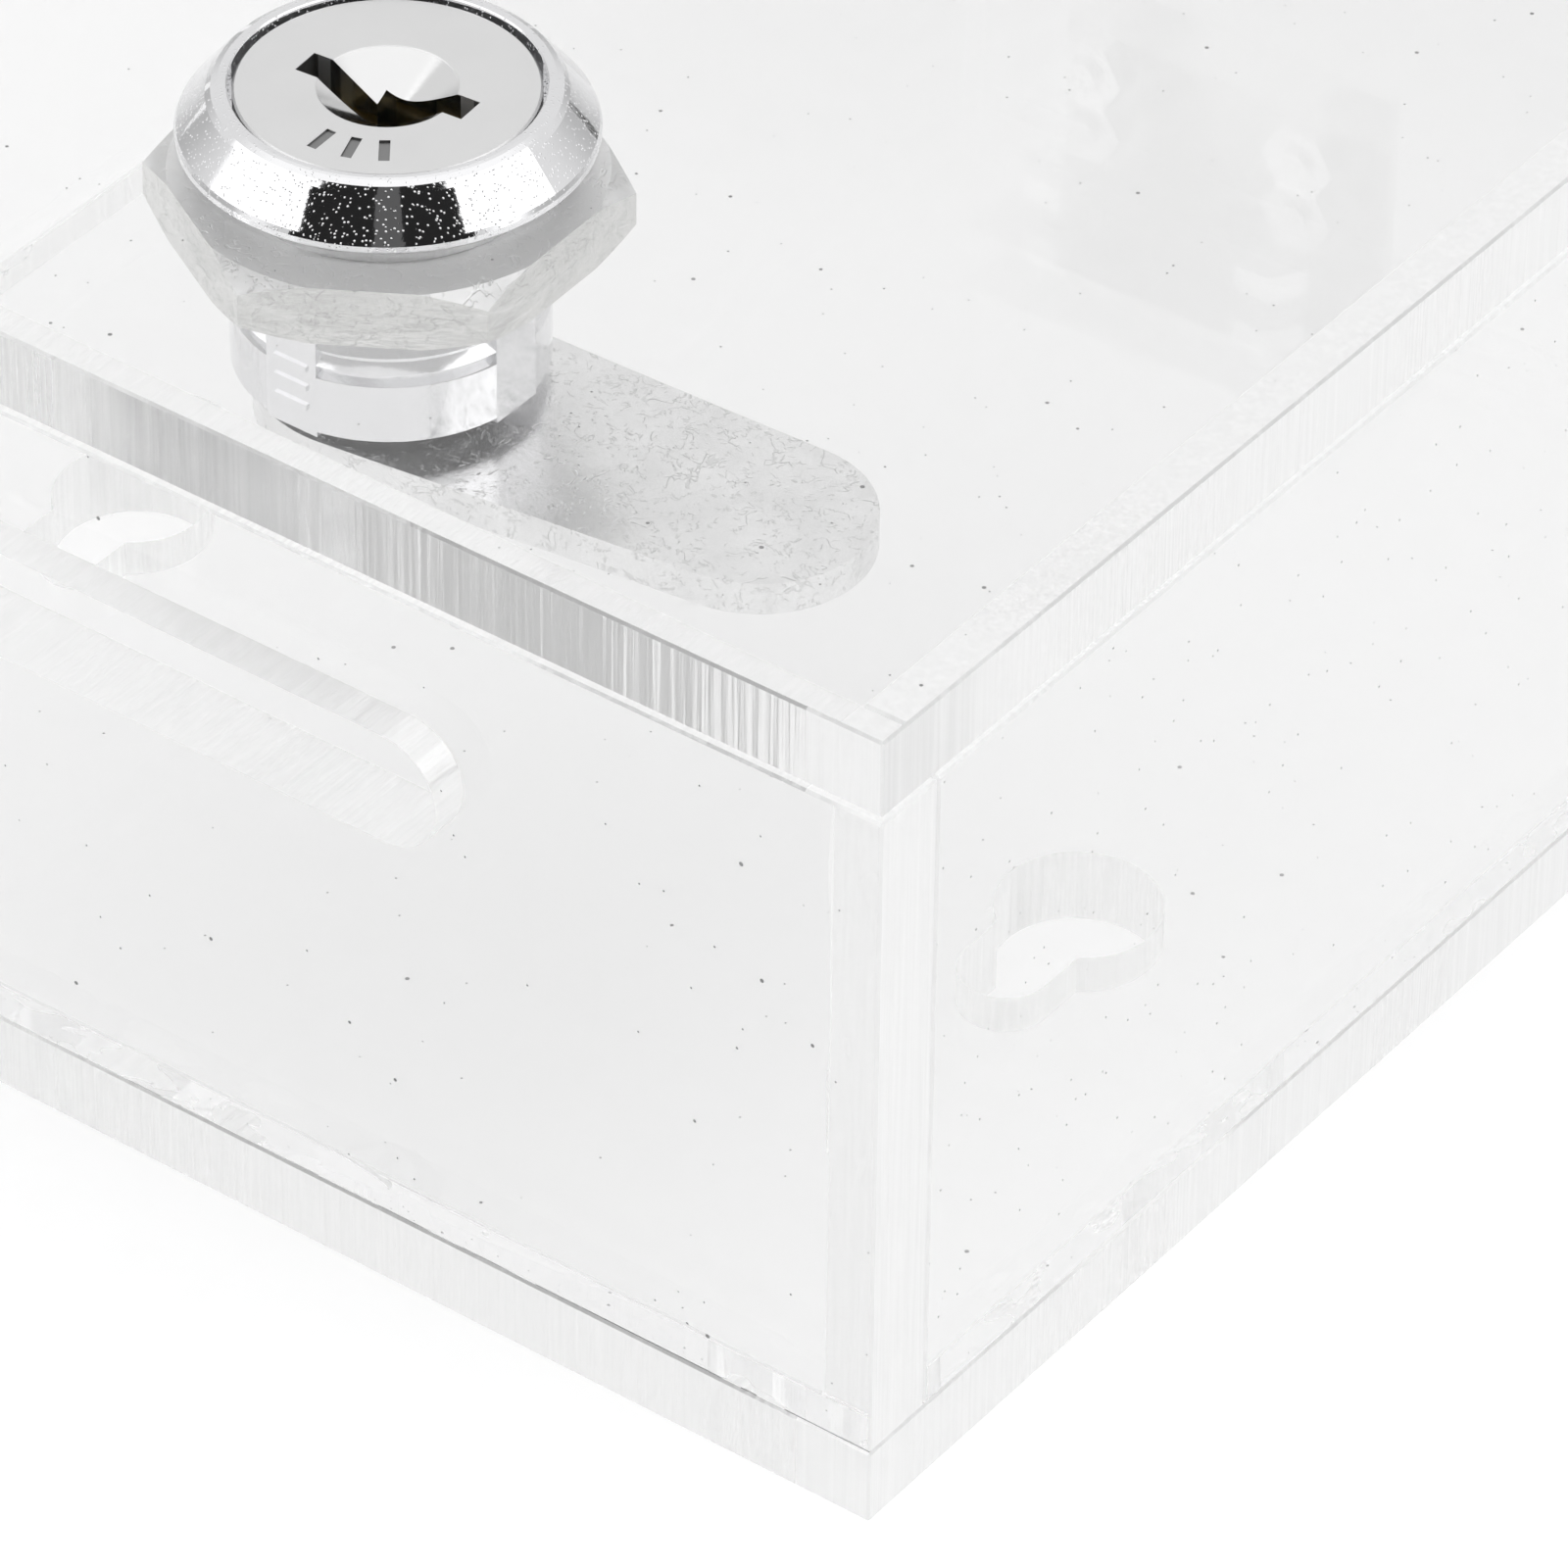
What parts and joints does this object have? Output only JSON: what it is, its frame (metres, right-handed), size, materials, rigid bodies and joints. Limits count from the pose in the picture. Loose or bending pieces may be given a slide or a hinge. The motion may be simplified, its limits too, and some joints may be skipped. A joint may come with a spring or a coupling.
{
  "type": "donation box",
  "caption": "Flat clear acrylic donation box with a money slot in one end wall, a hinged door with a cam lock, and keyholes in its back for hanging on a wall.",
  "frame": {"origin": "middle of the back panel's outer face, on which the box lies or which goes against a wall", "axes": "+Z out of the door, -Y out of the wall with the money slot, +X along that wall"},
  "size_m": [0.105, 0.1594, 0.0564],
  "materials": {
    "clear_acrylic": "clear, polished faces and saw-cut edges",
    "bright_chrome": "mirror plating",
    "nickel_plate": "nickel plating over a stamped or turned surface",
    "satin_nickel": "satin plating",
    "zinc_plated_steel": "zinc plating with tumbling marks",
    "brass": "stamped",
    "spring_steel": "drawn"
  },
  "bodies": {
    "box": {"back_panel": "clear_acrylic", "slot_wall": "clear_acrylic", "left_wall": "clear_acrylic", "right_wall": "clear_acrylic", "base_wall": "clear_acrylic", "left_hinge_box_leaf": "nickel_plate", "left_hinge_pin": "spring_steel", "right_hinge_box_leaf": "nickel_plate", "right_hinge_pin": "spring_steel", "box_leaf_screws": "nickel_plate", "box_leaf_nuts": "nickel_plate"},
    "door": {"door_panel": "clear_acrylic", "lock_housing": "bright_chrome", "lock_nut": "nickel_plate", "left_hinge_door_leaf": "nickel_plate", "right_hinge_door_leaf": "nickel_plate", "door_leaf_screws": "nickel_plate", "door_leaf_nuts": "nickel_plate"},
    "plug": {"lock_plug": "satin_nickel", "wafer_tumblers": "brass", "wafer_springs": "spring_steel", "lock_cam": "zinc_plated_steel", "cam_washer": "nickel_plate", "cam_screw": "nickel_plate"}
  },
  "joints": [
    {"name": "door_hinge", "type": "hinge", "parent": "box", "child": "door", "pos_m": [0, 0.0797, 0.0542], "axis": [-1, 0, 0], "range_deg": [0, 180]},
    {"name": "key_turn", "type": "hinge", "parent": "door", "child": "plug", "pos_m": [0, -0.0508, 0.052], "axis": [0, 0, -1], "range_deg": [0, 94.8]}
  ]
}
